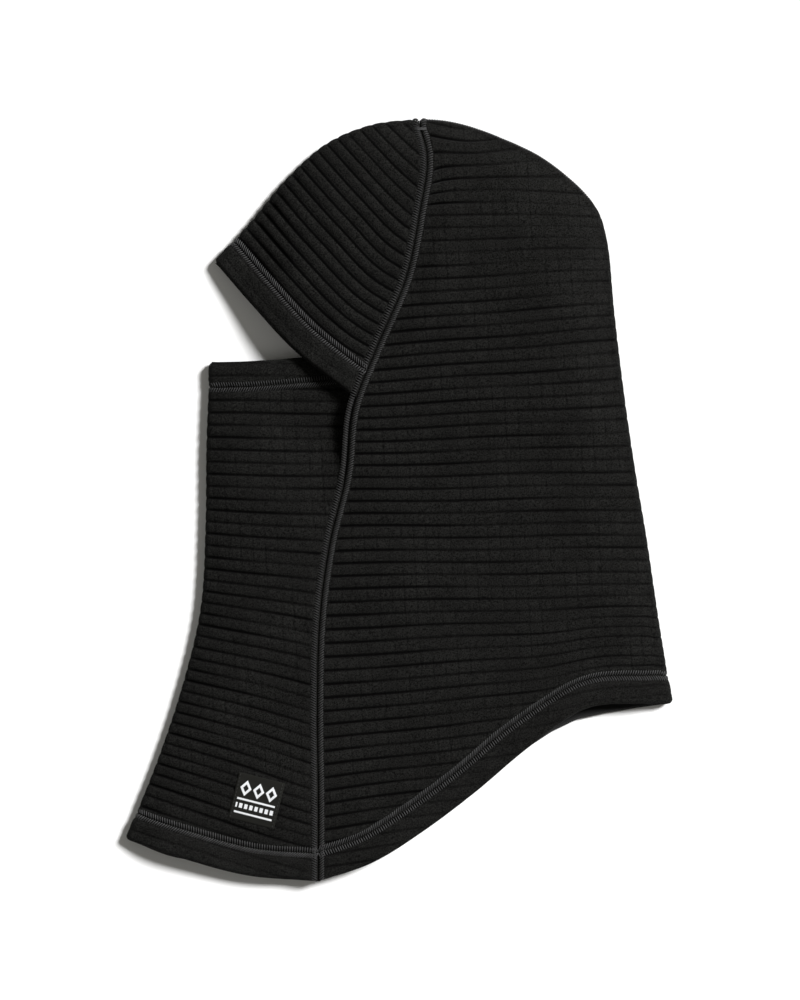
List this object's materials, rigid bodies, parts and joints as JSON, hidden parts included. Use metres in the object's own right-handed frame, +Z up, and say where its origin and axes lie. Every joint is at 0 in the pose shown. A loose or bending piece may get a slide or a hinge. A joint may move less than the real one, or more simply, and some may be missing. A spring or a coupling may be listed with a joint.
{
  "type": "balaclava",
  "caption": "Ribbed fleece balaclava with crossed brow and mouth hems, laid flat and folded on its centre line.",
  "frame": {"origin": "centre of the bounding box, on the surface that the garment lies on", "axes": "+Y towards the crown, +X towards the back of the head, -X towards the face, +Z up off the surface, towards the wearer's left side"},
  "size_m": [0.3013, 0.42, 0.019],
  "materials": {
    "fleece": "near-black ribbed grid fleece, matte, brushed inside",
    "hem_fleece": "the same cloth, turned in and pressed",
    "seam": "flatlock seam with dark grey threads",
    "thread": "hem cloth under grey coverstitch threads",
    "label": null,
    "care_tape": "blank satin tape"
  },
  "bodies": {
    "garment": {"back_panel": "fleece", "brow_panel": "fleece", "front_neck_panel": "fleece", "front_neck_hem": "hem_fleece", "back_neck_hem": "hem_fleece", "front_neck_hem_stitching": "thread", "back_neck_hem_stitching": "thread", "left_side_seam": "seam", "right_side_seam": "seam", "crown_seam": "seam", "woven_label": "label", "care_label": "care_tape"},
    "brow": {"brow_hem": "hem_fleece", "brow_hem_stitching": "thread"},
    "mouth_cover": {"mouth_hem": "hem_fleece", "mouth_hem_stitching": "thread"}
  },
  "joints": [
    {"name": "brow_hinge", "type": "hinge", "parent": "garment", "child": "brow", "pos_m": [-0.0197, 0.07603, 0], "axis": [0, 0, -1], "range_deg": [0, 18], "deforming": ["brow_panel"]},
    {"name": "mouth_cover_hinge", "type": "hinge", "parent": "garment", "child": "mouth_cover", "pos_m": [-0.02451, 0.06451, 0], "axis": [0, 0, 1], "range_deg": [0, 28], "deforming": ["front_neck_panel"]}
  ]
}
